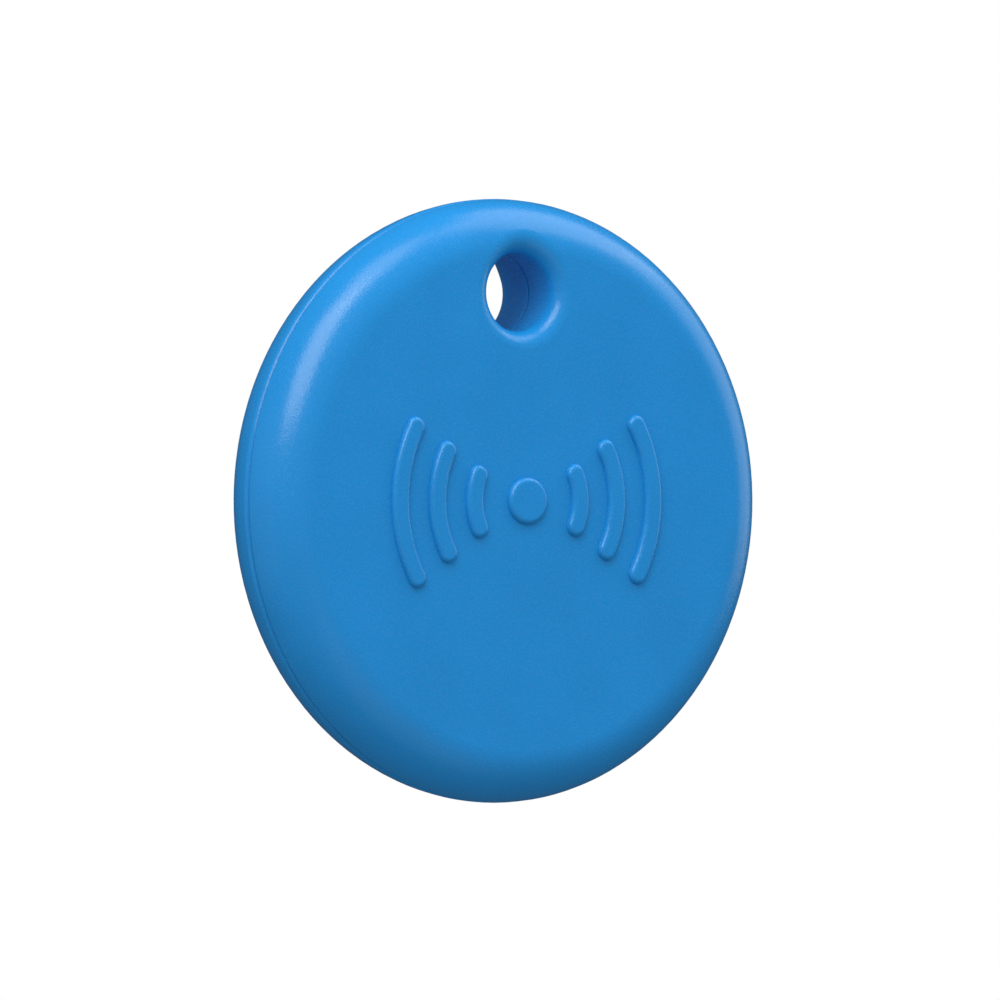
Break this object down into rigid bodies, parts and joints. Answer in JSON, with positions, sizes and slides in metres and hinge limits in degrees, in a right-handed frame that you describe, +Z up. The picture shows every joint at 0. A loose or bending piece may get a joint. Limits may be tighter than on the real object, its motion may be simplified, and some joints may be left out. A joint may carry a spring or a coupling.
{
  "type": "bluetooth tracker tag",
  "caption": "Round coin-sized tracker tag with a key-ring hole, a whole-face push button, a piezo sounder and a coin cell in a snap-together shell.",
  "frame": {"origin": "middle of the disc: its axis at half its thickness", "axes": "+Y is the disc's axis and points to the rear, the front face looks along -Y, +Z goes up to the key-ring hole, +X is to the right seen from the front"},
  "size_m": [0.0388, 0.0078, 0.0388],
  "materials": {
    "shell_blue": "fine spark-eroded texture, satin, moulded in one colour",
    "frame_black": "matt black moulded plastic",
    "seal_rubber": "soft black rubber",
    "pad_foam": "thin grey foam tape",
    "board_mask": "green solder mask over glass fibre",
    "chip_black": "black moulding compound",
    "ferrite_grey": "dark grey ferrite",
    "capacitor_tan": "tan multilayer ceramic",
    "antenna_white": "white ceramic block",
    "tin_plate": "bright tin plating",
    "gold_plate": "gold plating",
    "switch_black": "black moulded plastic",
    "spring_steel": "nickel-plated spring steel",
    "sounder_brass": "rolled brass disc",
    "piezo_ceramic": "fired piezo ceramic",
    "electrode_silver": "printed silver film",
    "glue_clear": "amber adhesive tape",
    "cell_steel": "nickel-plated steel, turned grain",
    "gasket_nylon": "natural nylon",
    "lithium_grey": "lithium foil",
    "separator_white": "white nonwoven",
    "cathode_black": "pressed black powder"
  },
  "bodies": {
    "rear_half": {"rear_shell": "shell_blue", "cell_pad": "pad_foam"},
    "core": {"mid_frame": "frame_black", "perimeter_gasket": "seal_rubber", "key_tube_gasket": "seal_rubber", "circuit_board": "board_mask", "bluetooth_chip": "chip_black", "sounder_driver": "chip_black", "motion_sensor": "chip_black", "boost_inductor": "ferrite_grey", "bulk_capacitor": "capacitor_tan", "chip_antenna": "antenna_white", "main_crystal": "tin_plate", "clock_crystal": "tin_plate", "chip_capacitors": "capacitor_tan", "chip_resistors": "chip_black", "part_terminals": "tin_plate", "test_pads": "gold_plate", "switch_base": "switch_black", "switch_cover": "tin_plate", "switch_dome": "spring_steel", "negative_contact": "spring_steel", "positive_contact_right": "spring_steel", "positive_contact_left": "spring_steel", "sounder_spring_outer": "gold_plate", "sounder_spring_centre": "gold_plate"},
    "front": {"front_shell": "shell_blue", "sounder_adhesive": "glue_clear", "sounder_plate": "sounder_brass", "sounder_ceramic": "piezo_ceramic", "sounder_electrode": "electrode_silver"},
    "plunger": {"switch_plunger": "switch_black"},
    "coin_cell": {"cell_can": "cell_steel", "cell_cap": "cell_steel", "cell_gasket": "gasket_nylon", "cell_anode": "lithium_grey", "cell_separator": "separator_white", "cell_cathode": "cathode_black"}
  },
  "joints": [
    {"name": "open_lift", "type": "slide", "parent": "rear_half", "child": "core", "axis": [0, -1, 0], "range_m": [0, 0.014]},
    {"name": "front_press", "type": "slide", "parent": "core", "child": "front", "axis": [0, 1, 0], "range_m": [0, 0.00013], "stiffness_N_per_m": 4000, "deforming": ["sounder_spring_outer", "sounder_spring_centre"]},
    {"name": "plunger_press", "type": "slide", "parent": "core", "child": "plunger", "axis": [0, 1, 0], "range_m": [0, 0.00013]},
    {"name": "cell_lift", "type": "slide", "parent": "rear_half", "child": "coin_cell", "axis": [0, -1, 0], "range_m": [0, 0.0062]}
  ],
  "couplings": [
    {"joint": "plunger_press", "follows": "front_press", "ratio": 1},
    {"joint": "cell_lift", "follows": "open_lift", "ratio": 0.43}
  ]
}
